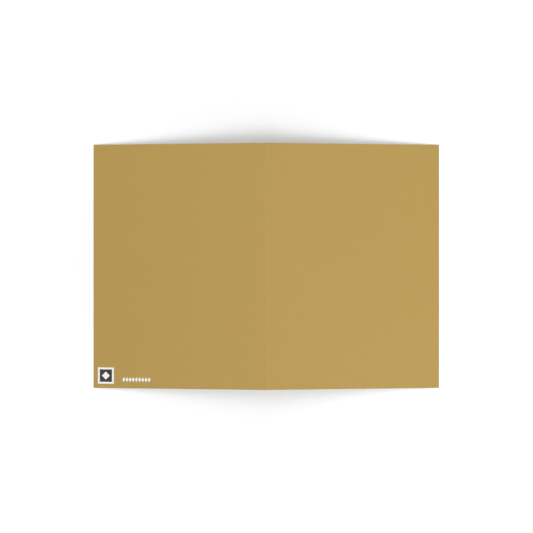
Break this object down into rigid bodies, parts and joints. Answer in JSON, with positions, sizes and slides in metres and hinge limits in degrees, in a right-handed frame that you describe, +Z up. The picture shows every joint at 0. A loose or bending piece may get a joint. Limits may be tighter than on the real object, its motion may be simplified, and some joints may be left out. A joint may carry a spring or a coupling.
{
  "type": "note card",
  "caption": "Stiff gold note card with a scored central fold, opened out and resting outside up on its free edges as a shallow tent.",
  "frame": {"origin": "on the surface that the free edges rest on, under the middle of the fold", "axes": "+X across the fold from the back panel to the front panel, +Y along the fold towards the card's top edge, +Z up, out of the card's outside"},
  "size_m": [0.2526, 0.1778, 0.0136],
  "materials": {
    "printed_card": "matte"
  },
  "bodies": {
    "root": {"note_card": "printed_card"}
  },
  "joints": []
}
